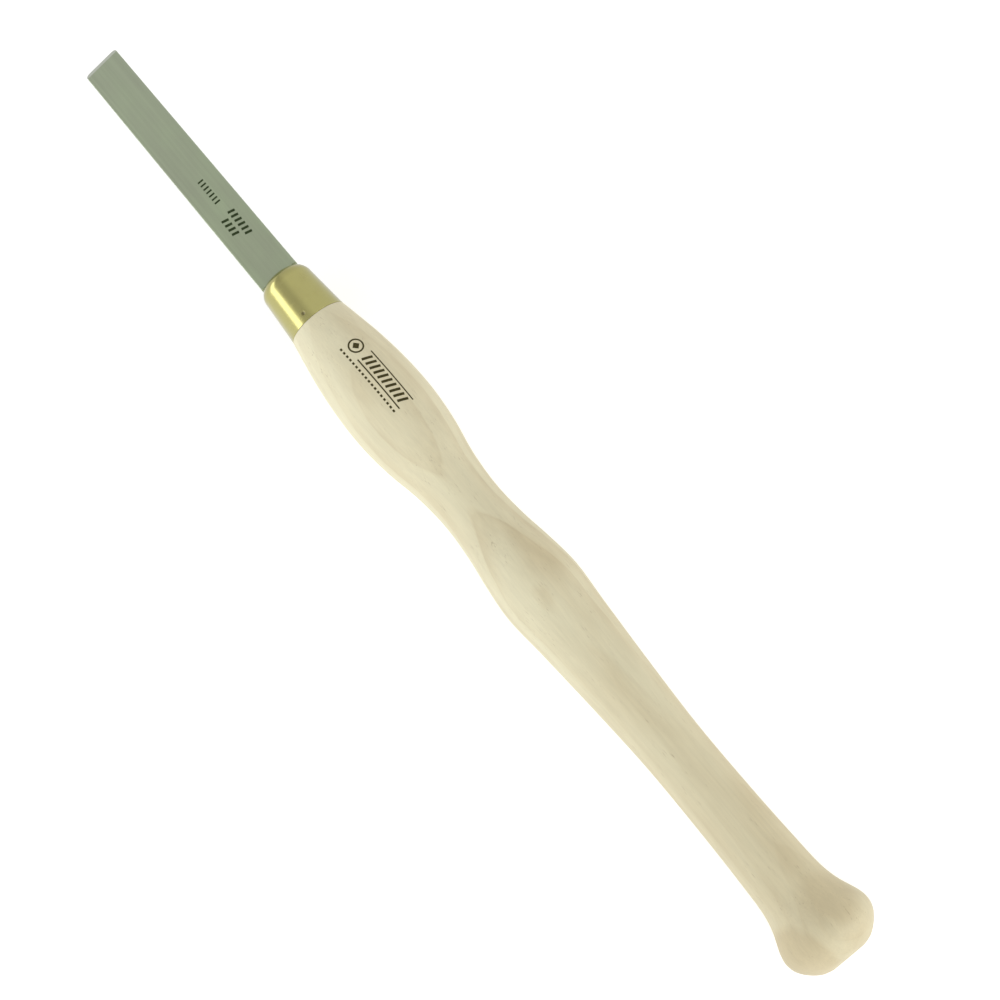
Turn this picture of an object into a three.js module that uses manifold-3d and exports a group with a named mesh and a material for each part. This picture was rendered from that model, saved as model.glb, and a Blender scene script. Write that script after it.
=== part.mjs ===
// A woodturner's V parting tool: a high-speed-steel blade with a tang, a drawn brass ferrule and a
// turned hardwood handle. The tool lies along X with its cutting tip towards +X, the blade's broad
// face is up (+Z), and the handle's knob rests on z = 0. Millimetres.

import * as THREE from "three";
import { mergeVertices } from "three/addons/utils/BufferGeometryUtils.js";
import Module from "manifold-3d";

// Driving dimensions. A station is a distance along the axis from the butt end towards the tip.
const TOOL_LENGTH = 480;
const WOOD_LENGTH = 329.2; // station of the ferrule's rear edge
const FERRULE_LENGTH = 26.2;
const KNOB_RADIUS = 20.3;
const ROUND_SEGMENTS = 40;

const BLADE_THICKNESS = 4.8;
const BLADE_HEIGHT_ROOT = 18.3;
const BLADE_HEIGHT_TIP = 17;
const TIP_CORNER_RADIUS = 2;
const TIP_SKEW = THREE.MathUtils.degToRad(4.8); // front clearance: the lower corner is set back
const V_HALF_ANGLE = THREE.MathUtils.degToRad(45);
const V_LAND = 0.12; // half the blunt land left on the V's edge
const ARRIS = 0.4; // chamfer along the blade's long edges

const TANG_LENGTH = 66;
const TANG_THICKNESS = 4.2;
const TANG_WIDTH_ROOT = 11;
const TANG_WIDTH_END = 5.4;
const TANG_POINT = 5;
const TANG_IN_BLADE = 6; // how far the tang's solid runs into the blade's, to join them

const FERRULE_RADIUS_REAR = 13.15;
const FERRULE_RADIUS_FRONT = 11.6;
const FERRULE_WALL = 1.2;
const NOSE_RADIUS = 6.2; // the drawn cup's rounded front shoulder
const MOUTH_RADIUS = 6.2;
const STAKE_RADIUS = 1.1; // the round nose of the punch
const STAKE_DEPTH = 0.6;
const STAKE_INSET = 3.5; // from the ferrule's rear edge
const STAKE_TURN = THREE.MathUtils.degToRad(9); // about the axis, from the top

const SEAT_GAP = 0.15; // hairline between pieces that butt against each other
const FIT_GAP = 0.3; // wood to tang
const PILOT_RADIUS = 3.4;
const PILOT_PAST_TANG = 6;
const CENTRE_MARK_RADIUS = 1.6; // dimple left by the lathe's tail centre
const CENTRE_MARK_DEPTH = 1.2;

// The handle's turned outline, [station, radius], from the rim of the butt's flat to the ferrule seat.
const HANDLE_OUTLINE = [
  [0, 7.5],
  [1.1, 11.6],
  [4.2, 15.95],
  [8.6, 19.35],
  [13.2, KNOB_RADIUS],
  [17.8, 19.35],
  [24.5, 16.65],
  [32, 14.8],
  [50, 13.75],
  [78, 13.1],
  [105, 13.1],
  [135, 14.45],
  [165, 16.3],
  [185, 17.6],
  [199, 16.35],
  [214, 14.25],
  [230, 13.3],
  [246, 14.5],
  [262, 17.35],
  [277, 18.75],
  [292, 18.55],
  [308, 16.95],
  [320, 14.95],
  [WOOD_LENGTH, FERRULE_RADIUS_REAR + 0.05],
];
const OUTLINE_STEP = 5; // longest piece of the sampled outline

// A facet of the round parts, not a corner, is lowest, so the axis is this high.
const AXIS_HEIGHT = KNOB_RADIUS * Math.cos(Math.PI / ROUND_SEGMENTS);
const FERRULE_FRONT = WOOD_LENGTH + FERRULE_LENGTH;
const SHOULDER = FERRULE_FRONT + SEAT_GAP;

const HANDLE_WOOD = { color: 0xdcd2b0, roughness: 0.55, metalness: 0 };
const BRASS = { color: 0xb9ab62, roughness: 0.28, metalness: 1 };
const BLADE_STEEL = { color: 0x939c84, roughness: 0.45, metalness: 1 };

const wasm = await Module();
wasm.setup();

function toSolid(geometry) {
  const bare = geometry.index ? geometry.toNonIndexed() : geometry.clone();
  bare.deleteAttribute("normal");
  bare.deleteAttribute("uv");
  const merged = mergeVertices(bare);
  return new wasm.Manifold(
    new wasm.Mesh({
      numProp: 3,
      vertProperties: merged.attributes.position.array,
      triVerts: new Uint32Array(merged.index.array),
    }),
  );
}

function toGeometry(solid) {
  const mesh = solid.getMesh();
  const geometry = new THREE.BufferGeometry();
  geometry.setAttribute("position", new THREE.BufferAttribute(mesh.vertProperties, 3));
  geometry.setIndex(new THREE.BufferAttribute(mesh.triVerts, 1));
  geometry.computeVertexNormals();
  return geometry;
}

function piece(name, geometry, finish) {
  const mesh = new THREE.Mesh(geometry, new THREE.MeshStandardMaterial(finish));
  mesh.name = name;
  return mesh;
}

// Moves a geometry drawn with stations along X and the axis at z = 0 to its place in the tool.
function place(geometry) {
  return geometry.translate(-TOOL_LENGTH / 2, 0, AXIS_HEIGHT);
}

// Turns a closed outline of [station, radius] points about the tool's axis.
function turned(outline) {
  const points = outline.map(([station, radius]) => new THREE.Vector2(radius, station));
  const facetDown = Math.PI / ROUND_SEGMENTS;
  const geometry = new THREE.LatheGeometry(points, ROUND_SEGMENTS, facetDown);
  return place(geometry.rotateZ(-Math.PI / 2));
}

// Points of a smooth curve through the outline, each span cut into steps no longer than OUTLINE_STEP.
function smoothOutline(outline) {
  const knots = outline.map(([station, radius]) => new THREE.Vector3(station, radius, 0));
  const curve = new THREE.CatmullRomCurve3(knots, false, "centripetal");
  const spans = knots.length - 1;
  const points = [outline[0]];
  for (let span = 0; span < spans; span++) {
    const steps = Math.max(2, Math.ceil(knots[span].distanceTo(knots[span + 1]) / OUTLINE_STEP));
    for (let step = 1; step <= steps; step++) {
      const { x, y } = curve.getPoint((span + step / steps) / spans);
      points.push([x, y]);
    }
  }
  return points;
}

// Rounded nose of the ferrule, from its tapered side to the edge of its mouth, offset inwards by inset.
function noseArc(inset, steps) {
  const centreStation = FERRULE_FRONT - NOSE_RADIUS;
  const centreRadius = FERRULE_RADIUS_FRONT - NOSE_RADIUS;
  const radius = NOSE_RADIUS - inset;
  const end = Math.acos((MOUTH_RADIUS - centreRadius) / radius);
  return Array.from({ length: steps + 1 }, (_, i) => {
    const turn = (i / steps) * end;
    return [centreStation + radius * Math.sin(turn), centreRadius + radius * Math.cos(turn)];
  });
}

// Prism between z = -thickness / 2 and +thickness / 2 of a closed outline of [station, y] points.
function plate(outline, thickness, chamfer = 0) {
  const shape = new THREE.Shape(outline.map(([station, y]) => new THREE.Vector2(station, y)));
  const geometry = new THREE.ExtrudeGeometry(shape, {
    depth: thickness - 2 * chamfer,
    bevelEnabled: chamfer > 0,
    bevelThickness: chamfer,
    bevelSize: chamfer,
    bevelOffset: -chamfer,
    bevelSegments: 1,
  });
  return geometry.translate(0, 0, chamfer - thickness / 2);
}

// Centres of the two rounded corners of the tip: the leading one at -Y and the set-back one at +Y.
function tipCorners() {
  const reach = BLADE_HEIGHT_TIP / 2 - TIP_CORNER_RADIUS;
  const leading = TOOL_LENGTH - TIP_CORNER_RADIUS;
  return {
    leading: [leading, -reach],
    setBack: [leading - 2 * reach * Math.tan(TIP_SKEW), reach],
  };
}

function cornerArc([station, y], from, to, steps = 5) {
  return Array.from({ length: steps + 1 }, (_, i) => {
    const turn = from + ((to - from) * i) / steps;
    return [station + TIP_CORNER_RADIUS * Math.cos(turn), y + TIP_CORNER_RADIUS * Math.sin(turn)];
  });
}

// The tang's tapering outline from station front back to its blunt point, widened all round by grow.
function tangOutline(grow, front) {
  const end = SHOULDER - TANG_LENGTH;
  const root = TANG_WIDTH_ROOT / 2 + grow;
  const tip = TANG_WIDTH_END / 2 + grow;
  return [
    [front, -root],
    [front, root],
    [SHOULDER, root],
    [end + TANG_POINT, tip],
    [end - grow, tip / 2],
    [end - grow, -tip / 2],
    [end + TANG_POINT, -tip],
    [SHOULDER, -root],
  ];
}

// One of the two wedges that grind the V: side is +1 for the upper face and -1 for the lower.
function vWedge(side) {
  const { leading } = tipCorners();
  const rise = BLADE_THICKNESS / 2 + 1;
  const run = rise / Math.tan(V_HALF_ANGLE);
  const ahead = 5;
  const shape = new THREE.Shape([
    new THREE.Vector2(0, V_LAND),
    new THREE.Vector2(ahead, V_LAND),
    new THREE.Vector2(ahead, V_LAND + rise),
    new THREE.Vector2(-run, V_LAND + rise),
  ]);
  const width = 3 * BLADE_HEIGHT_TIP;
  const wedge = new THREE.ExtrudeGeometry(shape, { depth: width, bevelEnabled: false });
  wedge.translate(0, 0, -width / 2).rotateX(Math.PI / 2);
  if (side < 0) wedge.rotateX(Math.PI);
  // The V's edge touches both rounded corners, so it lies one corner radius ahead of their centres.
  wedge.translate(TIP_CORNER_RADIUS, 0, 0).rotateZ(TIP_SKEW);
  return wedge.translate(leading[0], leading[1], 0);
}

function makeBlade() {
  const { leading, setBack } = tipCorners();
  const quarter = Math.PI / 2;
  const body = plate(
    [
      [SHOULDER, BLADE_HEIGHT_ROOT / 2],
      [SHOULDER, -BLADE_HEIGHT_ROOT / 2],
      ...cornerArc(leading, -quarter, TIP_SKEW),
      ...cornerArc(setBack, TIP_SKEW, quarter),
    ],
    BLADE_THICKNESS,
    ARRIS,
  );
  const tang = plate(tangOutline(0, SHOULDER + TANG_IN_BLADE), TANG_THICKNESS);
  const ground = toSolid(body)
    .subtract(toSolid(vWedge(1)))
    .subtract(toSolid(vWedge(-1)))
    .add(toSolid(tang));
  return piece("blade", place(toGeometry(ground)), BLADE_STEEL);
}

function makeFerrule() {
  const rear = WOOD_LENGTH + SEAT_GAP;
  const cup = turned([
    [rear, FERRULE_RADIUS_REAR],
    ...noseArc(0, 7),
    ...noseArc(FERRULE_WALL, 6).reverse(),
    [rear, FERRULE_RADIUS_REAR - FERRULE_WALL],
    [rear, FERRULE_RADIUS_REAR],
  ]);
  let solid = toSolid(cup);
  for (const turn of [STAKE_TURN, STAKE_TURN + Math.PI]) {
    const punch = new THREE.SphereGeometry(STAKE_RADIUS, 12, 8);
    const outside = FERRULE_RADIUS_REAR - STAKE_DEPTH + STAKE_RADIUS;
    punch.translate(rear + STAKE_INSET, 0, outside).rotateX(-turn);
    solid = solid.subtract(toSolid(place(punch)));
  }
  return piece("ferrule", toGeometry(solid), BRASS);
}

function makeHandle() {
  const spigotNose = noseArc(FERRULE_WALL + SEAT_GAP, 5);
  const spigotFront = spigotNose.at(-1)[0];
  const wood = turned([
    [CENTRE_MARK_DEPTH, 0],
    [0, CENTRE_MARK_RADIUS],
    ...smoothOutline(HANDLE_OUTLINE),
    [WOOD_LENGTH, FERRULE_RADIUS_REAR - FERRULE_WALL - SEAT_GAP],
    ...spigotNose,
    [spigotFront, 0],
  ]);
  const pilotLength = TANG_LENGTH + PILOT_PAST_TANG;
  const pilot = new THREE.CylinderGeometry(PILOT_RADIUS, PILOT_RADIUS, pilotLength, 24);
  pilot.rotateZ(-Math.PI / 2).translate(SHOULDER - pilotLength / 2, 0, 0);
  const slot = plate(tangOutline(FIT_GAP, SHOULDER + 1), TANG_THICKNESS + 2 * FIT_GAP);
  const bore = toSolid(place(pilot)).add(toSolid(place(slot)));
  return piece("handle", toGeometry(toSolid(wood).subtract(bore)), HANDLE_WOOD);
}

const tool = new THREE.Group();
tool.add(makeHandle(), makeFerrule(), makeBlade());

export default tool;
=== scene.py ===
import math

import bpy
import numpy as np
from bpy.props import FloatProperty, FloatVectorProperty, IntProperty, PointerProperty
from bpy.types import Operator, Panel, PropertyGroup
from mathutils import Matrix, Vector


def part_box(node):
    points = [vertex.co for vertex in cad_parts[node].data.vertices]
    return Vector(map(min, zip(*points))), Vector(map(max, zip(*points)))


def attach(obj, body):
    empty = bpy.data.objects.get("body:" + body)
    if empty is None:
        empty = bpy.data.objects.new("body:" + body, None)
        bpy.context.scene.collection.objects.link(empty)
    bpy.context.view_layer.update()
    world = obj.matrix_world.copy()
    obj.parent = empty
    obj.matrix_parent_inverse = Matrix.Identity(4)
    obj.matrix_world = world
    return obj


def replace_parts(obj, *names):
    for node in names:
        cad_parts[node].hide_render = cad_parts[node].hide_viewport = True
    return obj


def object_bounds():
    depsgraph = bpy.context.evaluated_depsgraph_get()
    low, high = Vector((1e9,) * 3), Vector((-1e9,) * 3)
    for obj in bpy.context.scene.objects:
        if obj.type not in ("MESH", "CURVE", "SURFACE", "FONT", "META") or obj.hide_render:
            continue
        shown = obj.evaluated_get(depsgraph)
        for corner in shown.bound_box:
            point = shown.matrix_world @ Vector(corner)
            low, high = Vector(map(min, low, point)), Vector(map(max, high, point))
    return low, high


bl_info = {
    "name": "V Parting Tool",
    "version": (1, 0, 0),
    "blender": (4, 5, 0),
    "location": "View3D > Sidebar > Parting Tool",
    "description": "Makes a woodturner's parting tool: steel blade, brass ferrule and turned handle",
    "category": "Add Mesh",
}

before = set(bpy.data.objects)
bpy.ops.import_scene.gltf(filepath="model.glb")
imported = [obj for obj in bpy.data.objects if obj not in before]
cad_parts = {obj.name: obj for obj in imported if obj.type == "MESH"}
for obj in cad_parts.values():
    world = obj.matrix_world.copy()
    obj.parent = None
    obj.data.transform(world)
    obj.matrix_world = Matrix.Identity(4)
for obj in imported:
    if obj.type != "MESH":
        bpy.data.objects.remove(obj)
CAD_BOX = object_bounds()

BODY = "root"
MM = 0.001


def box_arrays(node):
    """Lowest and highest corner of a CAD node as numpy arrays."""
    low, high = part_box(node)
    return np.array(low), np.array(high)


HANDLE_LOW, HANDLE_HIGH = box_arrays("handle")
FERRULE_LOW, FERRULE_HIGH = box_arrays("ferrule")
BLADE_LOW, BLADE_HIGH = box_arrays("blade")
AXIS_HEIGHT = (HANDLE_LOW[2] + HANDLE_HIGH[2]) / 2  # the handle's axis runs along X at this height


# ---- Sizes and colours a user would change -------------------------------------------------


def length(name, description, millimetres):
    """A length setting, shown in scene units and given here in millimetres."""
    return FloatProperty(
        name=name, description=description, default=millimetres * MM, min=0, precision=5,
        unit="LENGTH", subtype="DISTANCE",
    )


def angle(name, description, degrees):
    """An angle setting, given here in degrees."""
    return FloatProperty(
        name=name, description=description, default=math.radians(degrees),
        unit="ROTATION", subtype="ANGLE",
    )


def colour(name, description, red, green, blue):
    """A colour setting in linear light."""
    return FloatVectorProperty(
        name=name, description=description, default=(red, green, blue), min=0, max=1, size=3,
        subtype="COLOR",
    )


def factor(name, description, value):
    """A setting between 0 and 1."""
    return FloatProperty(
        name=name, description=description, default=value, min=0, max=1, subtype="FACTOR"
    )


class HandleSettings(PropertyGroup):
    """The turned wooden handle and its finish."""

    around: IntProperty(name="Around", description="Faces round the handle", default=144, min=16)
    along: IntProperty(name="Along", description="Rows along the turned outline", default=430,
                       min=32)
    centre_radius: length("Centre mark radius", "Mouth of the dimple left by the lathe", 1.6)
    centre_depth: length("Centre mark depth", "Depth of the dimple left by the lathe", 1.2)
    seat_arris: length("Seat arris", "Rounding of the wood's edge at the ferrule", 0.12)
    mortise_gap: length("Mortise gap", "Room between the tang and the wood", 0.12)
    cream: colour("Cream", "Early wood", 0.86, 0.815, 0.58)
    tan: colour("Tan", "Darker wood that fades out above each ring line", 0.68, 0.585, 0.37)
    line: colour("Late wood", "The thin line between two rings", 0.56, 0.47, 0.29)
    fleck: colour("Fleck", "Short dark rays and pores", 0.30, 0.205, 0.10)
    ring_spacing: length("Ring spacing", "Thickness of one year's growth", 6.2)
    ring_offset: length("Ring offset", "Height of a ring line above the axis, at mid length", 14.1)
    run_out: factor("Run-out", "Slope of the rings along the handle", 0.057)
    roughness: factor("Roughness", "Dullness of the satin finish", 0.52)


class FerruleSettings(PropertyGroup):
    """The drawn brass ferrule."""

    around: IntProperty(name="Around", description="Faces round the ferrule", default=300, min=16)
    front_radius: length("Front radius", "Radius where the nose begins", 11.6)
    nose: length("Nose", "Radius of the rounded front edge", 6.2)
    wall: length("Wall", "Thickness of the brass", 1.2)
    rim: length("Rim", "Rounding of the rear edge", 0.15)
    stake_inset: length("Stake inset", "Distance of the stake marks from the rear edge", 3.5)
    stake_radius: length("Stake radius", "Radius of the punch's round nose", 1.6)
    stake_depth: length("Stake depth", "Depth of the stake marks", 0.38)
    stake_turn: angle("Stake turn", "Turn of the stake marks from the top", 9)
    brass: colour("Brass", "Clean brass", 0.605, 0.56, 0.185)
    tarnish: colour("Tarnish", "Faint darker film", 0.53, 0.475, 0.15)
    # This colour paints dirt and shade: it darkens the stake marks and the brass just round them.
    grime_and_shade: colour("Grime", "Dirt left in the stake marks", 0.22, 0.19, 0.05)
    roughness: factor("Roughness", "Dullness of the polish", 0.165)


class BladeSettings(PropertyGroup):
    """The steel blade and its tang."""

    tip_width: length("Tip width", "Width of the blade at its tip", 17)
    corner: length("Corner", "Radius of the tip's two corners", 2)
    skew: angle("Skew", "Lean of the cutting edge, for front clearance", 4.8)
    v_angle: angle("V angle", "Angle of each ground face to the blade's middle plane", 45)
    land: length("Land", "Half the blunt land on the V's edge", 0.04)
    arris: length("Arris", "Rounding of the long edges", 0.35)
    tang_width: length("Tang width", "Width of the tang at the shoulder", 11)
    tang_end: length("Tang end", "Width of the tang at its end", 5.4)
    tang_thickness: length("Tang thickness", "Thickness of the tang", 4.2)
    tang_point: length("Tang point", "Length of the tang's tapered end", 5)
    steel: colour("Steel", "Ground high-speed steel", 0.49, 0.57, 0.385)
    shade: colour("Shade", "Faint darker patches", 0.465, 0.52, 0.37)
    fresh: colour("Fresh steel", "The ground V and the rubbed edges", 0.66, 0.69, 0.60)
    roughness: factor("Roughness", "Dullness of the ground faces", 0.42)


class MarkSettings(PropertyGroup):
    """The printed ornament on the handle and the etched one on the blade."""

    proud: length("Proud", "Thickness of the ink above the surface", 0.03)
    sunk: length("Sunk", "How far the ink reaches into the surface", 0.08)
    handle_start: length("Handle mark start", "From the ferrule's rear edge to the mark", 18.8)
    handle_turn: angle("Handle mark turn", "Turn of the mark from the top", 15.5)
    blade_start: length("Blade mark start", "From the ferrule's front to the mark", 22)
    ink: colour("Ink", "Printed on the wood", 0.052, 0.043, 0.011)
    etch: colour("Etch", "Etched on the steel", 0.028, 0.044, 0.014)


class StageSettings(PropertyGroup):
    """Floor, light and camera."""

    aim_x: FloatProperty(name="Aim X", description="Where the camera aims, along the tool",
                         default=-16.0 * MM, unit="LENGTH", subtype="DISTANCE")
    aim_y: FloatProperty(name="Aim Y", description="Where the camera aims, across the tool",
                         default=-10.33 * MM, unit="LENGTH", subtype="DISTANCE")
    distance: length("Distance", "From the camera to the point it aims at", 1037.9)
    lean: angle("Lean", "Lean of the view from straight above, towards the butt", 12.8)
    roll: angle("Roll", "Slope of the tool in the picture", 49.94)
    lens: FloatProperty(name="Lens", description="Focal length in millimetres", default=93.6)
    floor_size: length("Floor size", "Side of the floor", 6000)
    floor: colour("Floor", "Floor", 0.8, 0.8, 0.8)


# ---- Surfaces ------------------------------------------------------------------------------


def lattice(rows, columns, close_rows=False):
    """Corner numbers of the quads of a grid of points, closed round its columns and, if asked,
    from its last row to its first: point (row, column) has the number row * columns + column."""
    row = np.arange(rows if close_rows else rows - 1)[:, None]
    column = np.arange(columns)[None, :]
    here, after = row * columns, (row + 1) % rows * columns
    beside = (column + 1) % columns
    corners = [here + column, here + beside, after + beside, after + column]
    return np.stack(corners, -1).reshape(-1, 4)


def closed_tube(rings):
    """Points, quads and triangles of a tube through rings (rows by columns by 3). A fan of
    triangles to the mean of the first and of the last ring closes the ends."""
    rows, columns, _ = rings.shape
    points = rings.reshape(-1, 3)
    column = np.arange(columns)
    beside = (column + 1) % columns
    last_row = (rows - 1) * columns
    start = np.stack([np.full(columns, len(points)), beside, column], 1)
    end = np.stack([np.full(columns, len(points) + 1), last_row + column, last_row + beside], 1)
    middles = rings[[0, -1]].mean(1)
    return np.vstack([points, middles]), lattice(rows, columns), np.vstack([start, end])


def joined(solids):
    """One set of points, quads and triangles from several, each numbered after the one before."""
    starts = np.cumsum([0] + [len(points) for points, _, _ in solids])
    return (
        np.vstack([points for points, _, _ in solids]),
        np.vstack([quads + start for (_, quads, _), start in zip(solids, starts)]),
        np.vstack([triangles + start for (_, _, triangles), start in zip(solids, starts)]),
    )


def faces_outwards(points, quads, triangles):
    """The faces, turned round if the solid's signed volume is negative: the volume is a sixth of
    the sum of a . (b x c) over its triangles."""
    a, b, c = (
        points[np.concatenate([quads[:, 0], quads[:, 0], triangles[:, 0]])],
        points[np.concatenate([quads[:, 1], quads[:, 2], triangles[:, 1]])],
        points[np.concatenate([quads[:, 2], quads[:, 3], triangles[:, 2]])],
    )
    if (a * np.cross(b, c)).sum() < 0:
        return quads[:, ::-1], triangles[:, ::-1]
    return quads, triangles


def make_piece(name, solid, material, crease_degrees=28, weights=None):
    """A mesh object from closed solids. Edges that turn by more than the crease angle are sharp,
    and weights are numbers kept on the points for the material to read."""
    points, quads, triangles = solid
    quads, triangles = faces_outwards(points, quads, triangles)
    sizes = np.concatenate([np.full(len(quads), 4), np.full(len(triangles), 3)])
    mesh = bpy.data.meshes.new(name)
    mesh.vertices.add(len(points))
    mesh.vertices.foreach_set("co", points.ravel())
    mesh.loops.add(int(sizes.sum()))
    mesh.loops.foreach_set("vertex_index", np.concatenate([quads.ravel(), triangles.ravel()]))
    mesh.polygons.add(len(sizes))
    mesh.polygons.foreach_set("loop_start", np.concatenate([[0], np.cumsum(sizes)[:-1]]))
    mesh.polygons.foreach_set("use_smooth", np.ones(len(sizes), bool))
    mesh.update(calc_edges=True)
    crease(mesh, sizes, crease_degrees)
    for key, values in (weights or {}).items():
        spare = len(points) - len(values)
        layer = mesh.attributes.new(key, "FLOAT", "POINT")
        layer.data.foreach_set("value", np.concatenate([values, np.zeros(spare)]))
    if mesh.validate():
        raise RuntimeError(f"{name} has faces that don't hold together")
    mesh.materials.append(material)
    piece = bpy.data.objects.new(name, mesh)
    bpy.context.scene.collection.objects.link(piece)
    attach(piece, BODY)
    return piece


def crease(mesh, sizes, degrees):
    """Marks an edge sharp where the normals of its two faces differ by more than the angle. The
    faces' corners, sorted by edge, come in pairs because the mesh is closed."""
    edges = np.empty(len(mesh.loops), np.int32)
    mesh.loops.foreach_get("edge_index", edges)
    normals = np.empty(len(sizes) * 3)
    mesh.polygons.foreach_get("normal", normals)
    normals = normals.reshape(-1, 3)
    owners = np.repeat(np.arange(len(sizes)), sizes)
    one, other = owners[np.argsort(edges, kind="stable")].reshape(-1, 2).T
    likeness = (normals[one] * normals[other]).sum(1)
    mesh.edges.foreach_set("use_edge_sharp", likeness < math.cos(math.radians(degrees)))


def turned(profile, angles):
    """Rings of a surface of revolution: a profile point (x, radius) becomes, at each angle from
    the top, the point (x, radius * sine, axis + radius * cosine)."""
    x, radius = profile[:, :1], profile[:, 1:2]
    across = radius * np.sin(angles)
    height = AXIS_HEIGHT + radius * np.cos(angles)
    return np.stack([np.broadcast_to(x, across.shape), across, height], -1)


def smooth_curve(points, count):
    """Evenly spaced points on the cubic Hermite curve through points, measured along their
    chords, with the tangent at each one being the slope between its neighbours."""
    steps = np.linalg.norm(np.diff(points, axis=0), axis=1)
    knots = np.concatenate([[0], np.cumsum(steps)])
    slopes = np.gradient(points, knots, axis=0)
    where = np.linspace(0, knots[-1], count)
    span = np.clip(np.searchsorted(knots, where, side="right") - 1, 0, len(steps) - 1)
    t = ((where - knots[span]) / steps[span])[:, None]
    size = steps[span][:, None]
    return (
        (2 * t**3 - 3 * t**2 + 1) * points[span]
        + (t**3 - 2 * t**2 + t) * size * slopes[span]
        + (3 * t**2 - 2 * t**3) * points[span + 1]
        + (t**3 - t**2) * size * slopes[span + 1]
    )


def quarter_round(centre, radius, start, end, count):
    """Points (x, radius) of an arc about centre, from the start to the end angle in degrees,
    where 0 points along +X and 90 points away from the axis."""
    turn = np.radians(np.linspace(start, end, count))
    return np.array(centre) + radius * np.stack([np.cos(turn), np.sin(turn)], 1)


def straight(start, end, count):
    """Evenly spaced points from start to end, without the end itself."""
    return np.linspace(start, end, count, endpoint=False)


# ---- Handle --------------------------------------------------------------------------------


def turned_outline():
    """Stations and radii of the CAD handle's outside, from the rim of the butt's flat to the
    ferrule, shrunk so that the round surface fits the CAD handle's flat facets from inside."""
    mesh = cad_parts["handle"].data
    corners = np.empty(len(mesh.vertices) * 3)
    mesh.vertices.foreach_get("co", corners)
    x, y, z = corners.reshape(-1, 3).T
    radius = np.hypot(y, z - AXIS_HEIGHT)
    outside = (x < FERRULE_LOW[0]) & (radius > 7 * MM)
    stations, ring = np.unique(np.round(x[outside], 7), return_inverse=True)
    radii = np.zeros(len(stations))
    np.maximum.at(radii, ring, radius[outside])
    shrink = (HANDLE_HIGH[2] - AXIS_HEIGHT) / radii.max()
    return np.stack([stations, radii * shrink], 1), shrink


OUTLINE, FACET_SHRINK = turned_outline()


def spigot_profile(ferrule):
    """Outside of the spigot, from the shoulder that the ferrule is seated on to its front rim: it
    follows the inside of the ferrule at a hair's distance."""
    fit = 0.1 * MM
    seat = OUTLINE[-1, 0]
    rear = FERRULE_HIGH[1] - ferrule.wall - fit
    front = FERRULE_HIGH[0] - ferrule.wall - fit
    nose = ferrule.nose - ferrule.wall - fit
    nose_centre = (FERRULE_HIGH[0] - ferrule.nose,
                   (ferrule.front_radius - ferrule.nose) * FACET_SHRINK)
    return np.vstack([
        straight((seat, rear), (nose_centre[0], nose_centre[1] + nose), 12),
        quarter_round(nose_centre, nose, 90, 0, 9)[:-1],
        [(front, nose_centre[1])],
    ])


def mortise_rings(start_x, blade, gap, angles):
    """Rings of the hole for the tang. At each angle the ring is where a ray from the axis meets
    the tang's rectangle, widened by the gap, and the rectangle narrows towards the tang's end."""
    end_x = BLADE_LOW[0] - 2 * MM
    x = np.linspace(start_x, end_x, 26)
    along = (start_x - x) / (start_x - BLADE_LOW[0])
    half_width = gap + (blade.tang_width + (blade.tang_end - blade.tang_width) * along) / 2
    half_height = np.full_like(x, gap + blade.tang_thickness / 2)
    reach = 1 / np.maximum(
        np.abs(np.sin(angles)) / half_width[:, None], np.abs(np.cos(angles)) / half_height[:, None]
    )
    across = reach * np.sin(angles)
    height = AXIS_HEIGHT + reach * np.cos(angles)
    return np.stack([np.broadcast_to(x[:, None], across.shape), across, height], -1)


def handle_solid(handle, ferrule, blade):
    """The handle's surface, row by row: the lathe's centre mark, the butt's flat, the turned
    outline, the ferrule's seat, the spigot, its front face and the mortise."""
    angles = np.linspace(0, math.tau, handle.around, endpoint=False)
    butt = HANDLE_LOW[0]
    pin = 0.05 * MM
    seat_x, seat_radius = OUTLINE[-1]
    arris = handle.seat_arris
    outline = smooth_curve(OUTLINE, handle.along)
    body = outline[outline[:, 0] < seat_x - arris]
    profile = np.vstack([
        straight((butt + handle.centre_depth, pin), (butt, handle.centre_radius), 6),
        straight((butt, handle.centre_radius), OUTLINE[0], 8),
        body,
        quarter_round((seat_x - arris, seat_radius - arris), arris, 90, 0, 4),
        spigot_profile(ferrule),
    ])
    outer = turned(profile, angles)
    mortise = mortise_rings(profile[-1, 0], blade, handle.mortise_gap, angles)
    blend = np.linspace(0, 1, 6)[1:-1, None, None]
    face = outer[-1] * (1 - blend) + mortise[0] * blend
    return closed_tube(np.concatenate([outer, face, mortise]))


# ---- Ferrule -------------------------------------------------------------------------------


def crowded(start, end, centres, width, extra, count):
    """Numbers from start to end that lie closer together near the centres. Their density is 1
    plus extra times a bell curve of that width about each centre, and each takes an equal share."""
    fine = np.linspace(start, end, 4001)
    density = 1 + extra * np.exp(-(((fine[:, None] - centres) / width) ** 2)).sum(1)
    share = np.concatenate([[0], np.cumsum((density[1:] + density[:-1]) / 2)])
    return np.interp(np.linspace(0, share[-1], count), share, fine)


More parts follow.
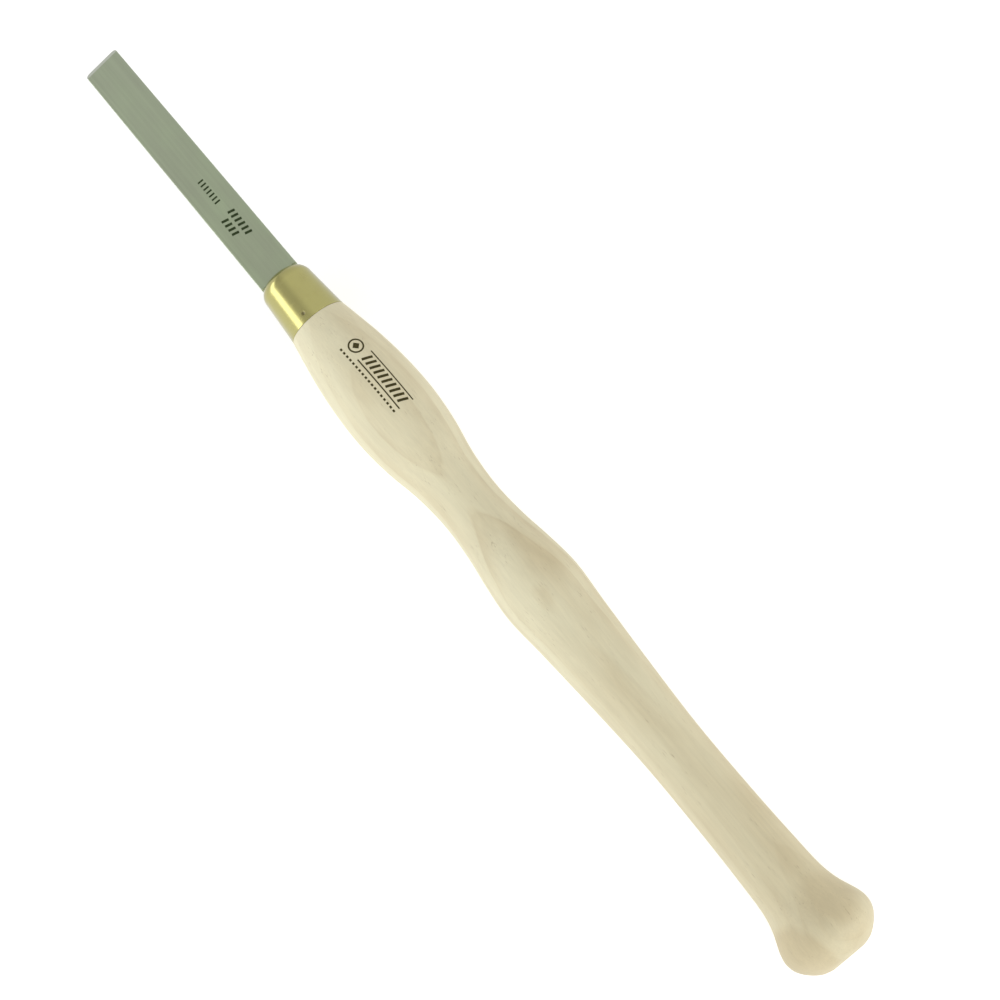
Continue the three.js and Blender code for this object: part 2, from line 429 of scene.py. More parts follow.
def ferrule_solid(ferrule):
    """A ring whose closed outline goes along the tapered side, round the nose, through the
    mouth and back inside. Two stake marks are pressed into the side: a point at distance d from
    the mark's middle sinks to the punch's sphere. Also returns the share of dirt and painted
    shade in and around each mark, from 0 to 1."""
    rear, front = FERRULE_LOW[0], FERRULE_HIGH[0]
    rear_radius = FERRULE_HIGH[1]
    front_radius = ferrule.front_radius * FACET_SHRINK
    nose_centre = (front - ferrule.nose, front_radius - ferrule.nose)
    wall, rim = ferrule.wall, ferrule.rim
    stake_x = rear + ferrule.stake_inset
    stakes = np.array([ferrule.stake_turn, ferrule.stake_turn + math.pi])

    side_x = crowded(rear + rim, nose_centre[0], np.array([stake_x]), 1.2 * MM, 8, 80)[:-1]
    side_radius = np.interp(side_x, [rear, nose_centre[0]], [rear_radius, front_radius])
    profile = np.vstack([
        np.stack([side_x, side_radius], 1),
        quarter_round(nose_centre, ferrule.nose, 90, 0, 28),
        quarter_round((front - rim, nose_centre[1]), rim, 0, -90, 4)[1:],
        straight((front - 2 * rim, nose_centre[1] - rim), (front - wall, nose_centre[1] - rim), 4),
        quarter_round(nose_centre, ferrule.nose - wall, 0, 90, 16),
        straight((nose_centre[0] - rim, front_radius - wall), (rear, rear_radius - wall), 14),
        straight((rear, rear_radius - wall), (rear, rear_radius - rim), 4),
        quarter_round((rear + rim, rear_radius - rim), rim, 180, 90, 5)[:-1],
    ])
    angles = crowded(0, math.tau, stakes, 0.1, 8, ferrule.around + 1)[:-1]
    rings = turned(profile, angles)

    rows = slice(0, len(side_x))
    dimple = np.zeros(rings.shape[:2])
    along = rings[rows, :, 0] - stake_x
    for stake in stakes:
        turn = np.angle(np.exp(1j * (angles - stake)))
        distance = np.hypot(along, side_radius[:, None] * turn)
        ball, depth = ferrule.stake_radius, ferrule.stake_depth
        inside = np.clip(distance / ball, 0, 1)
        sink = np.clip(depth - ball * (1 - np.sqrt(1 - inside**2)), 0, None)
        mouth = math.sqrt(ball**2 - (ball - depth) ** 2)
        rings[rows, :, 1] -= sink * np.sin(angles)
        rings[rows, :, 2] -= sink * np.cos(angles)
        # Weight of the dirt and painted shade that darken each mark and the brass just round it.
        dimple[rows] += np.clip(1.5 - distance / mouth, 0, 1)
    solid = rings.reshape(-1, 3), lattice(*rings.shape[:2], close_rows=True), np.empty((0, 3), int)
    return solid, {"dimple": dimple.ravel()}


# ---- Blade ---------------------------------------------------------------------------------


def bar_section():
    """A rounded rectangle as four rows of numbers: side and face say which corner a point belongs
    to, from -1 to 1 along the flats, and round_y and round_z lead from the corner's centre."""
    turn = np.radians(np.linspace(0, 90, 6))
    wide = np.array([0.985, 0.9, 0.7, 0.45, 0.2, 0, -0.2, -0.45, -0.7, -0.9, -0.985])
    narrow = np.array([0.9, 0.5, 0, -0.5, -0.9])
    pieces = []
    for quarter, flat in enumerate([wide, narrow, wide, narrow]):
        start = math.radians(90 * quarter)
        corner_y, corner_z = [(1, 1), (-1, 1), (-1, -1), (1, -1)][quarter]
        next_y, next_z = [(-1, 1), (-1, -1), (1, -1), (1, 1)][quarter]
        round_y, round_z = np.cos(turn + start), np.sin(turn + start)
        share = (1 - flat) / 2
        pieces.append(np.stack([
            np.concatenate([np.full(6, corner_y), corner_y + (next_y - corner_y) * share]),
            np.concatenate([np.full(6, corner_z), corner_z + (next_z - corner_z) * share]),
            np.concatenate([round_y, np.full(len(flat), round_y[-1])]),
            np.concatenate([round_z, np.full(len(flat), round_z[-1])]),
        ]))
    return np.concatenate(pieces, axis=1)


def blade_solid(blade):
    """A rounded rectangle carried along X. Its half width follows the blade's taper and, at the
    tip, the two corners' quarter circles; its half height falls in a straight line over the V.
    Near the tip every point is set back in proportion to its distance from the leading corner."""
    tip, shoulder = BLADE_HIGH[0], FERRULE_HIGH[0] + 0.1 * MM
    end = BLADE_LOW[0]
    half_height = (BLADE_HIGH[2] - BLADE_LOW[2]) / 2
    root_half = BLADE_HIGH[1]
    tip_half = blade.tip_width / 2
    run = (half_height - blade.land) / math.tan(blade.v_angle)

    corner_turn = np.radians(np.linspace(0, 90, 14))
    back = np.concatenate([
        blade.corner * (1 - np.cos(corner_turn)),
        [run - 0.02 * MM, run, run + 0.05 * MM],
        np.linspace(run + 0.4 * MM, tip - shoulder, 60),
    ])
    back = np.unique(np.round(back, 9))
    into_corner = np.clip(1 - back / blade.corner, 0, 1)
    width = tip_half + (root_half - tip_half) * back / (tip - shoulder)
    width = width - blade.corner * (1 - np.sqrt(1 - into_corner**2))
    height = np.minimum(half_height, blade.land + back * math.tan(blade.v_angle))
    arris = np.clip(height * 0.5, 0, blade.arris)
    arris = np.where(back < run, np.minimum(arris, 0.06 * MM), arris)

    tang_back = tip - np.array([
        *np.linspace(shoulder, end + blade.tang_point, 24),
        end + blade.tang_point / 2, end,
    ])
    tang_along = np.clip((tang_back - (tip - shoulder)) / (shoulder - end - blade.tang_point), 0, 1)
    tang_width = (blade.tang_width + (blade.tang_end - blade.tang_width) * tang_along) / 2
    tang_width[-2:] *= [0.8, 0.5]
    tang_height = np.full(len(tang_back), blade.tang_thickness / 2)
    tang_arris = np.full(len(tang_back), blade.arris)

    back = np.concatenate([back, tang_back])[:, None]
    width = np.concatenate([width, tang_width])[:, None]
    height = np.concatenate([height, tang_height])[:, None]
    arris = np.concatenate([arris, tang_arris])[:, None]
    side, face, round_y, round_z = bar_section()
    y = side * (width - arris) + round_y * arris
    z = AXIS_HEIGHT + face * (height - arris) + round_z * arris
    fade = np.clip(1 - (back - 4 * MM) / (12 * MM), 0, 1)
    leading = -(tip_half - blade.corner)
    x = tip - back - math.tan(blade.skew) * (y - leading) * fade * fade * (3 - 2 * fade)
    rings = np.stack([x, y, z], -1)

    ground = np.broadcast_to(back < run + 0.01 * MM, y.shape).astype(float)
    rounded = (np.abs(round_y * round_z) > 0.1) & (back > run) & (x > shoulder)
    return closed_tube(rings), {"ground": ground.ravel(), "arris": rounded.astype(float).ravel()}


# ---- Marks ---------------------------------------------------------------------------------


def stroke(path, width, proud, sunk, closed=False):
    """A flat band along a path of (along, across) points, as rings of (along, across, height).
    Each ring crosses the path at right angles: its upper side stands proud, its lower is sunk."""
    path = np.asarray(path, float)
    if closed:
        ahead, behind = np.roll(path, -1, 0), np.roll(path, 1, 0)
        direction = ahead - behind
    else:
        direction = np.gradient(path, axis=0)
    direction = direction / np.linalg.norm(direction, axis=1)[:, None]
    normal = np.stack([-direction[:, 1], direction[:, 0]], 1)
    half = np.broadcast_to(np.asarray(width) / 2, len(path))
    cross = np.linspace(-1, 1, 7)
    offsets = np.concatenate([cross, cross[::-1]])
    heights = np.concatenate([np.full(7, proud), np.full(7, -sunk)])
    flat = path[:, None, :] + normal[:, None, :] * (half[:, None] * offsets)[:, :, None]
    return np.concatenate([flat, np.broadcast_to(heights[None, :, None], (*flat.shape[:2], 1))], -1)


def band_solid(rings, closed=False):
    """The solid of a stroke: a ring-shaped one closes on itself, a straight one has two ends."""
    if closed:
        quads = lattice(*rings.shape[:2], close_rows=True)
        return rings.reshape(-1, 3), quads, np.empty((0, 3), int)
    return closed_tube(rings)


def bar(start, end, width, mark, count=6):
    """A straight band from start to end, (along, across) in millimetres."""
    path = np.linspace(np.array(start, float), np.array(end, float), count) * MM
    return band_solid(stroke(path, np.asarray(width) * MM, mark.proud, mark.sunk))


def ring(centre, radius, width, mark, count=48):
    """A circular band, centre (along, across) and sizes in millimetres."""
    turn = np.linspace(0, math.tau, count, endpoint=False)
    path = np.array(centre) + radius * np.stack([np.cos(turn), np.sin(turn)], 1)
    return band_solid(stroke(path * MM, width * MM, mark.proud, mark.sunk, closed=True), closed=True)


def lozenge(centre, size, mark):
    """A filled lozenge: a straight band whose width grows to its middle and falls again."""
    along = np.linspace(-1, 1, 13)
    path = np.array(centre) + size * np.stack([along, np.zeros(13)], 1)
    width = 2 * size * np.clip(1 - np.abs(along), 0.02, 1)
    return band_solid(stroke(path * MM, width * MM, mark.proud, mark.sunk))


def on_handle(solid, start, turn):
    """Wraps a flat solid round the handle: along runs from start towards the butt, across is an
    arc length towards -Y, and the height is added to the handle's radius there."""
    points, quads, triangles = solid
    along, across, height = points.T
    x = start - along
    curve = smooth_curve(OUTLINE, 4000)
    radius = np.interp(x, curve[:, 0], curve[:, 1])
    angle_from_top = -(turn + across / radius)
    reach = radius + height
    wrapped = np.stack([
        x, reach * np.sin(angle_from_top), AXIS_HEIGHT + reach * np.cos(angle_from_top)
    ], 1)
    return wrapped, quads, triangles


def on_blade(solid, start):
    """Lays a flat solid on the blade's upper face: along runs from start towards the ferrule."""
    points, quads, triangles = solid
    along, across, height = points.T
    return np.stack([start - along, -across, BLADE_HIGH[2] + height], 1), quads, triangles


def handle_ornament(mark):
    """A ring with a lozenge in it, a band of slanting bars between two rules, and a dashed line."""
    parts = [
        ring((3.6, 1.5), 3.0, 0.7, mark),
        lozenge((3.6, 1.5), 1.7, mark),
        bar((9, 5.0), (36, 5.0), 0.55, mark, 40),
        bar((9, -1.9), (36, -1.9), 0.55, mark, 40),
    ]
    for step in range(10):
        along = 10 + 2.55 * step
        parts.append(bar((along, -0.6), (along + 1.5, 3.8), 1.15, mark))
    for step in range(18):
        along = 0.7 + 2.0 * step
        parts.append(bar((along, -4.2), (along + 1.1, -4.2), 0.9, mark))
    return joined(parts)


def blade_ornament(mark):
    """Two rows of short slanting bars, and further on a row of small ticks."""
    parts = []
    for step in range(6):
        along = 0.8 + 2.35 * step
        parts.append(bar((along, 0.6), (along + 0.8, 3.7), 1.1, mark))
    for step in range(4):
        along = 2.4 + 2.35 * step
        parts.append(bar((along, -3.9), (along + 0.8, -0.8), 1.1, mark))
    for step in range(7):
        along = -17.4 + 1.93 * step
        parts.append(bar((along, -1.1), (along, 1.6), 0.75, mark))
    return joined(parts)


# ---- Materials -----------------------------------------------------------------------------


def new_material(name):
    """A material's node tree with only its output and a Principled shader, and that shader."""
    material = bpy.data.materials.new(name)
    material.use_nodes = True
    tree = material.node_tree
    tree.nodes.clear()
    shader = tree.nodes.new("ShaderNodeBsdfPrincipled")
    output = tree.nodes.new("ShaderNodeOutputMaterial")
    tree.links.new(shader.outputs["BSDF"], output.inputs["Surface"])
    return material, tree, shader


def add(tree, kind, inputs=None, **options):
    """A node whose inputs, by name or number, are each a value or another node's output."""
    node = tree.nodes.new(kind)
    for option, value in options.items():
        setattr(node, option, value)
    for key, value in (inputs or {}).items():
        if isinstance(value, bpy.types.NodeSocket):
            tree.links.new(value, node.inputs[key])
        else:
            node.inputs[key].default_value = value
    return node


def stretched_noise(tree, coordinates, scale, detail=3.0, roughness=0.5, shift=(0, 0, 0)):
    """Noise with its own number of waves per metre along X, Y and Z."""
    mapping = add(tree, "ShaderNodeMapping",
                  {"Vector": coordinates, "Scale": scale, "Location": shift})
    noise = add(tree, "ShaderNodeTexNoise", {
        "Vector": mapping.outputs["Vector"], "Scale": 1.0, "Detail": detail, "Roughness": roughness,
    })
    return noise.outputs["Fac"]


def maths(tree, operation, *values):
    """The output of a Math node."""
    return add(tree, "ShaderNodeMath", dict(enumerate(values)), operation=operation).outputs[0]


def remap(tree, value, low, high, to_low=0.0, to_high=1.0):
    """value, from its range low to high, stretched to another range and held inside it."""
    node = add(tree, "ShaderNodeMapRange", {
        "Value": value, "From Min": low, "From Max": high, "To Min": to_low, "To Max": to_high,
    })
    return node.outputs["Result"]


def blend(tree, share, first, second, mode="MIX"):
    """A mix of two colours."""
    node = add(tree, "ShaderNodeMix", data_type="RGBA", blend_type=mode)
    given = ((node.inputs[0], share), (node.inputs[6], first), (node.inputs[7], second))
    for socket, value in given:
        if isinstance(value, bpy.types.NodeSocket):
            tree.links.new(value, socket)
        else:
            socket.default_value = value
    return node.outputs[2]


def rgba(shade):
    """A colour setting with full opacity."""
    return (*shade, 1.0)


def bump(tree, height, distance, strength=1.0, normal=None):
    """Surface relief: height, from 0 to 1, times distance in metres."""
    inputs = {"Height": height, "Distance": distance, "Strength": strength}
    if normal is not None:
        inputs["Normal"] = normal
    return add(tree, "ShaderNodeBump", inputs).outputs["Normal"]


# The growth layers tip across the handle by this much at the neck, and tip back away from it.
TIP_AT_NECK = 0.06
TIP_BACK = 16.0  # per square metre of distance along the handle

# Darker patches painted on the handle: centre, reach and strength of each. They darken the flare's
# -Y side, the knob's +Y side and the -Y side of the swelling behind the neck, partly as wood tone
# and partly as painted shade.
TONE_AND_SHADE_PATCHES = (
    ((-0.2185, -0.009, AXIS_HEIGHT + 0.015), 14 * MM, 0.5),
    ((-0.2305, 0.0175, AXIS_HEIGHT + 0.010), 17 * MM, 1.5),
    ((-0.048, -0.009, AXIS_HEIGHT + 0.014), 19 * MM, 0.3),
)


def wood_material(wood):
    """Pale hardwood cut from the plank's face. Growth rings are layers, almost level, that the
    turned shape cuts into loops on its swellings and into facing arrowheads at its neck."""
    material, tree, shader = new_material("handle_wood")
    place = add(tree, "ShaderNodeTexCoord").outputs["Object"]

    wander = stretched_noise(tree, place, (9, 38, 38), 2.0, shift=(0.3, 0.1, 0))
    ripple = stretched_noise(tree, place, (60, 160, 160), 3.0, 0.55)
    parts = add(tree, "ShaderNodeSeparateXYZ", {0: place})
    from_neck = maths(tree, "ADD", parts.outputs["X"], 4 * MM)
    tip = maths(tree, "MULTIPLY_ADD", maths(tree, "POWER", from_neck, 2.0), -TIP_BACK, TIP_AT_NECK)
    level = maths(tree, "MULTIPLY_ADD", parts.outputs["X"], -wood.run_out, parts.outputs["Z"])
    level = maths(tree, "MULTIPLY_ADD", parts.outputs["Y"], tip, level)
    level = maths(tree, "ADD", level, remap(tree, wander, 0.2, 0.8, -1.0 * MM, 1.0 * MM))
    level = maths(tree, "ADD", level, remap(tree, ripple, 0.2, 0.8, -0.3 * MM, 0.3 * MM))
    level = maths(tree, "ADD", level, -(AXIS_HEIGHT + wood.ring_offset))
    year = maths(tree, "FRACT", maths(tree, "DIVIDE", level, wood.ring_spacing))

    patches = stretched_noise(tree, place, (14, 55, 55), 3.0, shift=(0, 1.7, 0))
    mottle = stretched_noise(tree, place, (55, 130, 130), 3.0, 0.55, shift=(0, 0, 2.3))
    clear = maths(tree, "MULTIPLY",
                  remap(tree, parts.outputs["X"], -115 * MM, -50 * MM, 0.22, 0.75),
                  remap(tree, parts.outputs["X"], 0, 60 * MM, 1.0, 0.45))
    fading = maths(tree, "MAXIMUM", remap(tree, year, 0.04, 0.55, 1.0, 0.0),
                   remap(tree, year, 0.95, 1.0))
    fading = maths(tree, "MULTIPLY", fading, remap(tree, mottle, 0.35, 0.65, 0.25, 0.55))
    line = maths(tree, "MAXIMUM", remap(tree, year, 0.0, 0.06, 1.0, 0.0),
                 remap(tree, year, 0.98, 1.0))
    # Tan painted on the -Y side, away from the key light, weaker towards the butt: partly the wood's
    # own tone and partly painted shade.
    side_tan_and_shade = maths(tree, "MULTIPLY", remap(tree, parts.outputs["Y"], -13 * MM, 14 * MM, 0.36, 0.0),
                    remap(tree, parts.outputs["X"], -60 * MM, -150 * MM, 1.0, 0.3))
    tone = maths(tree, "ADD", maths(tree, "MULTIPLY", fading, clear), side_tan_and_shade)
    tone = maths(tree, "ADD", tone, remap(tree, patches, 0.38, 0.66, 0.0, 0.34))
    tone = maths(tree, "ADD", tone, remap(tree, parts.outputs["X"], -60 * MM, -170 * MM, 0.0, 0.5))
    # Each patch darkens the wood round its centre: partly the wood's own tone, partly painted shade.
    for spot, reach, depth in TONE_AND_SHADE_PATCHES:
        away = add(tree, "ShaderNodeVectorMath", {0: place, 1: spot}, operation="DISTANCE")
        tone_and_shade = remap(tree, away.outputs["Value"], reach, 0.15 * reach, 0.0, depth)
        tone = maths(tree, "ADD", tone, tone_and_shade)
    body = blend(tree, tone, rgba(wood.cream), rgba(wood.tan))
    line_strength = maths(tree, "MULTIPLY", maths(tree, "MULTIPLY", line, clear),
                          remap(tree, patches, 0.35, 0.62, 0.02, 0.22))
    body = blend(tree, line_strength, body, rgba(wood.line))

    fibre = stretched_noise(tree, place, (34, 1500, 1500), 4.0, 0.62)
    grain = stretched_noise(tree, place, (12, 420, 420), 3.0, 0.5, shift=(0.4, 0, 0))
    lighten = maths(tree, "ADD", remap(tree, fibre, 0.25, 0.75, 0.955, 1.035),
                    remap(tree, grain, 0.3, 0.7, -0.025, 0.025))
    lighten = maths(tree, "ADD", lighten, remap(tree, mottle, 0.3, 0.7, 0.02, -0.02))
    fibred = add(tree, "ShaderNodeVectorMath", {0: body, "Scale": lighten}, operation="SCALE")

    dashes = stretched_noise(tree, place, (240, 3100, 3100), 1.0, 0.4, shift=(0, 0, 0.9))
    rays = remap(tree, dashes, 0.66, 0.75)
    sparse = remap(tree, stretched_noise(tree, place, (70, 240, 240), 2.0), 0.48, 0.64)
    fleck_share = maths(tree, "MULTIPLY", maths(tree, "MULTIPLY", rays, sparse), 0.5)
    coloured = blend(tree, fleck_share, fibred.outputs["Vector"], rgba(wood.fleck))
    tree.links.new(coloured, shader.inputs["Base Color"])

    dull = maths(tree, "ADD", remap(tree, fibre, 0.3, 0.7, -0.05, 0.07), wood.roughness)
    tree.links.new(dull, shader.inputs["Roughness"])
    tool_rings = stretched_noise(tree, place, (1300, 9, 9), 2.0)
    relief = bump(tree, fibre, 0.03 * MM, 0.5)
    relief = bump(tree, tool_rings, 0.012 * MM, 0.35, relief)
    relief = bump(tree, maths(tree, "SUBTRACT", 1.0, rays), 0.03 * MM, 0.4, relief)
    tree.links.new(relief, shader.inputs["Normal"])
    shader.inputs["Specular IOR Level"].default_value = 0.35
    shader.inputs["Coat Weight"].default_value = 0.08
    shader.inputs["Coat Roughness"].default_value = 0.35
    return material


def brass_material(brass):
    """Drawn and lacquered brass: fine lines round the axis, a soft polish, the faintest film of
    tarnish, and dirt with painted shade darkening the stake marks."""
    material, tree, shader = new_material("ferrule_brass")
    place = add(tree, "ShaderNodeTexCoord").outputs["Object"]
    lines = stretched_noise(tree, place, (5200, 45, 45), 3.0, 0.6)
    scuffs = stretched_noise(tree, place, (900, 260, 260), 3.0, 0.6, shift=(0, 0.5, 0))
    clouds = stretched_noise(tree, place, (120, 140, 140), 3.0, 0.55)
    film = remap(tree, clouds, 0.45, 0.75, 0.0, 0.5)
    shade = blend(tree, film, rgba(brass.brass), rgba(brass.tarnish))
    # The stake marks are painted darker, as dirt and painted shade in the recess, and made duller.
    grime_and_shade = add(tree, "ShaderNodeAttribute", attribute_name="dimple").outputs["Fac"]
    shade = blend(tree, grime_and_shade, shade, rgba(brass.grime_and_shade))
    tree.links.new(shade, shader.inputs["Base Color"])
    dull = maths(tree, "ADD", remap(tree, lines, 0.3, 0.7, -0.03, 0.06), brass.roughness)
    dull = maths(tree, "ADD", dull, maths(tree, "MULTIPLY", grime_and_shade, 0.5))
    dull = maths(tree, "ADD", dull, remap(tree, scuffs, 0.55, 0.75, 0.0, 0.12))
    dull = maths(tree, "ADD", dull, maths(tree, "MULTIPLY", film, 0.12))
    tree.links.new(dull, shader.inputs["Roughness"])
    relief = bump(tree, lines, 0.012 * MM, 0.35)
    relief = bump(tree, scuffs, 0.012 * MM, 0.2, relief)
    tree.links.new(relief, shader.inputs["Normal"])
    shader.inputs["Metallic"].default_value = 1.0
    shader.inputs["Coat Weight"].default_value = 1.0
    shader.inputs["Coat Roughness"].default_value = 0.16
    shader.inputs["Coat IOR"].default_value = 1.62
    return material


def steel_material(steel):
    """Ground tool steel: fine lines along the bar, faint patches, brighter metal on the ground V
    and on the rubbed edges."""
    material, tree, shader = new_material("blade_steel")
    place = add(tree, "ShaderNodeTexCoord").outputs["Object"]
    ground = add(tree, "ShaderNodeAttribute", attribute_name="ground").outputs["Fac"]
    arris = add(tree, "ShaderNodeAttribute", attribute_name="arris").outputs["Fac"]
    lines = stretched_noise(tree, place, (22, 3600, 3600), 4.0, 0.6)
    coarse = stretched_noise(tree, place, (9, 620, 620), 3.0, 0.55, shift=(0.2, 0, 0))
    grit = stretched_noise(tree, place, (1500, 1500, 1500), 2.0, 0.5)
    patches = stretched_noise(tree, place, (38, 75, 75), 3.0, 0.55, shift=(0, 0.8, 0))

    body = blend(tree, remap(tree, patches, 0.35, 0.68), rgba(steel.steel), rgba(steel.shade))
    rubbed = maths(tree, "MULTIPLY", arris, remap(tree, grit, 0.42, 0.6, 0.15, 0.75))
    bright = maths(tree, "MAXIMUM", maths(tree, "MULTIPLY", ground, 0.9), rubbed)
    from_root = add(tree, "ShaderNodeSeparateXYZ", {0: place}).outputs["X"]
    bright = maths(tree, "MAXIMUM", bright, remap(tree, from_root, 140 * MM, 235 * MM, 0.0, 0.16))
    body = blend(tree, bright, body, rgba(steel.fresh))
    streaks = maths(tree, "ADD", remap(tree, lines, 0.25, 0.75, 0.94, 1.05),
                    remap(tree, coarse, 0.3, 0.7, -0.03, 0.03))
    streaked = add(tree, "ShaderNodeVectorMath", {0: body, "Scale": streaks}, operation="SCALE")
    tree.links.new(streaked.outputs["Vector"], shader.inputs["Base Color"])

    dull = maths(tree, "ADD", remap(tree, lines, 0.3, 0.7, -0.05, 0.07), steel.roughness)
    dull = maths(tree, "SUBTRACT", dull, maths(tree, "MULTIPLY", bright, 0.1))
    tree.links.new(dull, shader.inputs["Roughness"])
    relief = bump(tree, lines, 0.012 * MM, 0.4)
    relief = bump(tree, grit, 0.01 * MM, 0.25, relief)
    tree.links.new(relief, shader.inputs["Normal"])
    shader.inputs["Metallic"].default_value = 1.0
    return material


def ink_material(name, shade, roughness):
    """A dark printed or etched film, a little worn where its cover is thin."""
    material, tree, shader = new_material(name)
    place = add(tree, "ShaderNodeTexCoord").outputs["Object"]
    cover = stretched_noise(tree, place, (500, 1400, 1400), 4.0, 0.65)
    worn = tuple(min(1.0, 2.6 * part + 0.02) for part in shade)
    coloured = blend(tree, remap(tree, cover, 0.5, 0.8, 0.0, 0.7), rgba(shade), rgba(worn))
    tree.links.new(coloured, shader.inputs["Base Color"])
    dull = remap(tree, cover, 0.3, 0.7, roughness - 0.08, roughness + 0.1)
    tree.links.new(dull, shader.inputs["Roughness"])
    tree.links.new(bump(tree, cover, 0.01 * MM, 0.3), shader.inputs["Normal"])
    shader.inputs["Specular IOR Level"].default_value = 0.15
    return material


def floor_material(shade):
    """A plain pale floor that is light enough to keep the tool's shadow faint."""
    material, tree, shader = new_material("floor")
    shader.inputs["Base Color"].default_value = rgba(shade)
    shader.inputs["Roughness"].default_value = 0.9
    shader.inputs["Specular IOR Level"].default_value = 0.1
    shader.inputs["Emission Color"].default_value = (1, 1, 1, 1)
    shader.inputs["Emission Strength"].default_value = 0.5
    return material


# ---- Stage ---------------------------------------------------------------------------------


def make_floor(stage):
    """A square floor at the height the tool rests on."""
    half = stage.floor_size / 2
    low = CAD_BOX[0][2]
    mesh = bpy.data.meshes.new("floor")
    corners = [(-half, -half, low), (half, -half, low), (half, half, low), (-half, half, low)]
    mesh.from_pydata(corners, [], [(0, 1, 2, 3)])
    mesh.materials.append(floor_material(stage.floor))
    floor = bpy.data.objects.new("floor", mesh)
    floor.visible_glossy = False  # the metal mirrors the studio, not the floor
    bpy.context.scene.collection.objects.link(floor)


def make_softbox(name, place, aim, width, height, power):
    """A rectangular area light at a place, facing the aim."""
    lamp = bpy.data.lights.new(name, "AREA")
    lamp.shape = "RECTANGLE"
    lamp.size, lamp.size_y = width, height
    lamp.energy = power
    light = bpy.data.objects.new(name, lamp)
    bpy.context.scene.collection.objects.link(light)
    light.location = place
    light.rotation_euler = (Vector(aim) - Vector(place)).to_track_quat("-Z", "Y").to_euler()
    light.visible_camera = False


def make_world():
    """A pale studio with a dimmer strip beside the softbox. The light depends on the angle from
    straight up, across the tool, and falls off gently towards the tip. The camera sees it plain."""
    world = bpy.data.worlds.new("studio")
    world.use_nodes = True
    tree = world.node_tree
    tree.nodes.clear()
    direction = add(tree, "ShaderNodeTexCoord").outputs["Generated"]
    parts = add(tree, "ShaderNodeSeparateXYZ", {0: direction})
    across = maths(tree, "ARCTAN2", parts.outputs["Y"], parts.outputs["Z"])
    strip = maths(tree, "MAXIMUM",
                  remap(tree, across, math.radians(-18), math.radians(8), 1.0, 0.66),
                  remap(tree, across, math.radians(32), math.radians(46), 0.66, 1.0))
    sides = remap(tree, across, math.radians(-25), math.radians(70), 0.74, 0.95)
    along = remap(tree, parts.outputs["X"], -1.0, 1.0, 1.3, 0.72)
    level = maths(tree, "MULTIPLY", maths(tree, "MULTIPLY", strip, sides), along)
    seen = add(tree, "ShaderNodeLightPath").outputs["Is Camera Ray"]
    level = maths(tree, "MAXIMUM", level, seen)
    light = add(tree, "ShaderNodeBackground", {"Color": (1, 1, 1, 1), "Strength": level})
    output = tree.nodes.new("ShaderNodeOutputWorld")
    tree.links.new(light.outputs["Background"], output.inputs["Surface"])
    bpy.context.scene.world = world


def make_camera(stage):
    """A camera that leans from straight above towards the butt and is rolled so that the tool
    slopes across the picture from its tip, upper left, to its butt, lower right."""
    lean, roll = stage.lean, stage.roll
    to_butt = Vector((-math.cos(lean), 0, -math.sin(lean)))
    to_edge = Vector((0, 1, 0))
    back = Vector((-math.sin(lean), 0, math.cos(lean)))
    right = math.cos(roll) * to_butt - math.sin(roll) * to_edge
    up = -(math.sin(roll) * to_butt + math.cos(roll) * to_edge)
    lens = bpy.data.cameras.new("camera")
    lens.sensor_width = 36
    lens.lens = stage.lens
    lens.clip_start, lens.clip_end = 0.05, 20
    camera = bpy.data.objects.new("camera", lens)
    bpy.context.scene.collection.objects.link(camera)
    place = Vector((stage.aim_x, stage.aim_y, AXIS_HEIGHT)) + back * stage.distance
    turn = Matrix((right, up, back)).transposed().to_4x4()
    camera.matrix_world = Matrix.Translation(place) @ turn
    bpy.context.scene.camera = camera


# ---- Operators, panel and registration -----------------------------------------------------


class PARTING_OT_handle(Operator):
    """Turn the wooden handle with its spigot and mortise"""

    bl_idname = "parting.handle"
    bl_label = "Handle"

    def execute(self, context):
        scene = context.scene
        solid = handle_solid(scene.parting_handle, scene.parting_ferrule, scene.parting_blade)
        material = wood_material(scene.parting_handle)
        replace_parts(make_piece("handle_wood", solid, material, 40), "handle")
        return {"FINISHED"}


class PARTING_OT_ferrule(Operator):
    """Draw the brass ferrule and stake it"""

    bl_idname = "parting.ferrule"
    bl_label = "Ferrule"

    def execute(self, context):
        settings = context.scene.parting_ferrule
        solid, weights = ferrule_solid(settings)
        material = brass_material(settings)
        piece = make_piece("ferrule_brass", solid, material, 50, weights)
        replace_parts(piece, "ferrule")
        return {"FINISHED"}


class PARTING_OT_blade(Operator):
    """Grind the steel blade with its tang"""

    bl_idname = "parting.blade"
    bl_label = "Blade"

    def execute(self, context):
        settings = context.scene.parting_blade
        solid, weights = blade_solid(settings)
        material = steel_material(settings)
        piece = make_piece("blade_steel_bar", solid, material, 25, weights)
        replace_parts(piece, "blade")
        return {"FINISHED"}


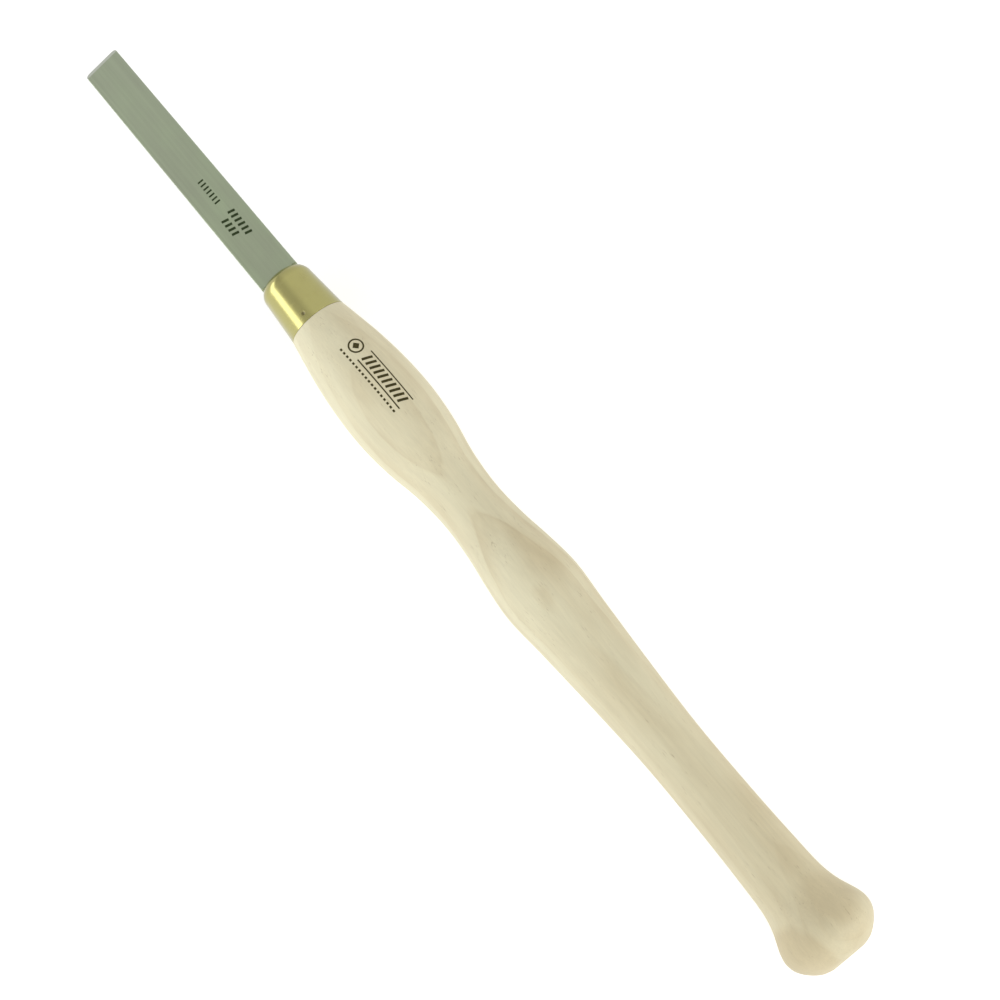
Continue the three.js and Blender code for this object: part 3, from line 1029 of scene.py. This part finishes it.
class PARTING_OT_marks(Operator):
    """Print the ornaments on the handle and the blade"""

    bl_idname = "parting.marks"
    bl_label = "Marks"

    def execute(self, context):
        mark = context.scene.parting_mark
        start = FERRULE_LOW[0] - mark.handle_start
        printed = on_handle(handle_ornament(mark), start, mark.handle_turn)
        make_piece("handle_mark", printed, ink_material("handle_ink", mark.ink, 0.5))
        etched = on_blade(blade_ornament(mark), FERRULE_HIGH[0] + mark.blade_start + 14 * MM)
        make_piece("blade_mark", etched, ink_material("blade_etch", mark.etch, 0.45))
        return {"FINISHED"}


class PARTING_OT_stage(Operator):
    """Set up the floor, the soft light and the camera"""

    bl_idname = "parting.stage"
    bl_label = "Stage"

    def execute(self, context):
        stage = context.scene.parting_stage
        context.scene.view_settings.view_transform = "Standard"
        make_floor(stage)
        make_world()
        make_softbox("key_light", (0.65, 0.514, 0.335), (0.65, 0, AXIS_HEIGHT), 1.4, 0.29, 1.62)
        make_softbox("butt_light", (-1.05, -0.6, 0.4), (-0.2, 0, AXIS_HEIGHT), 0.6, 0.5, 2.4)
        make_camera(stage)
        return {"FINISHED"}


class PARTING_PT_panel(Panel):
    """The parting tool's steps and settings"""

    bl_label = "Parting Tool"
    bl_space_type = "VIEW_3D"
    bl_region_type = "UI"
    bl_category = "Parting Tool"

    def draw(self, context):
        layout = self.layout
        for operator, settings, kind in STEPS:
            part = layout.box()
            part.operator(operator.bl_idname)
            for setting in kind.__annotations__:
                part.prop(getattr(context.scene, settings), setting)


STEPS = (
    (PARTING_OT_handle, "parting_handle", HandleSettings),
    (PARTING_OT_ferrule, "parting_ferrule", FerruleSettings),
    (PARTING_OT_blade, "parting_blade", BladeSettings),
    (PARTING_OT_marks, "parting_mark", MarkSettings),
    (PARTING_OT_stage, "parting_stage", StageSettings),
)


def register():
    for operator, settings, kind in STEPS:
        bpy.utils.register_class(kind)
        bpy.utils.register_class(operator)
        setattr(bpy.types.Scene, settings, PointerProperty(type=kind))
    bpy.utils.register_class(PARTING_PT_panel)


def unregister():
    bpy.utils.unregister_class(PARTING_PT_panel)
    for operator, settings, kind in reversed(STEPS):
        delattr(bpy.types.Scene, settings)
        bpy.utils.unregister_class(operator)
        bpy.utils.unregister_class(kind)


def main():
    register()
    for operator, _, _ in STEPS:
        group, name = operator.bl_idname.split(".")
        getattr(getattr(bpy.ops, group), name)()


if __name__ == "__main__":
    main()
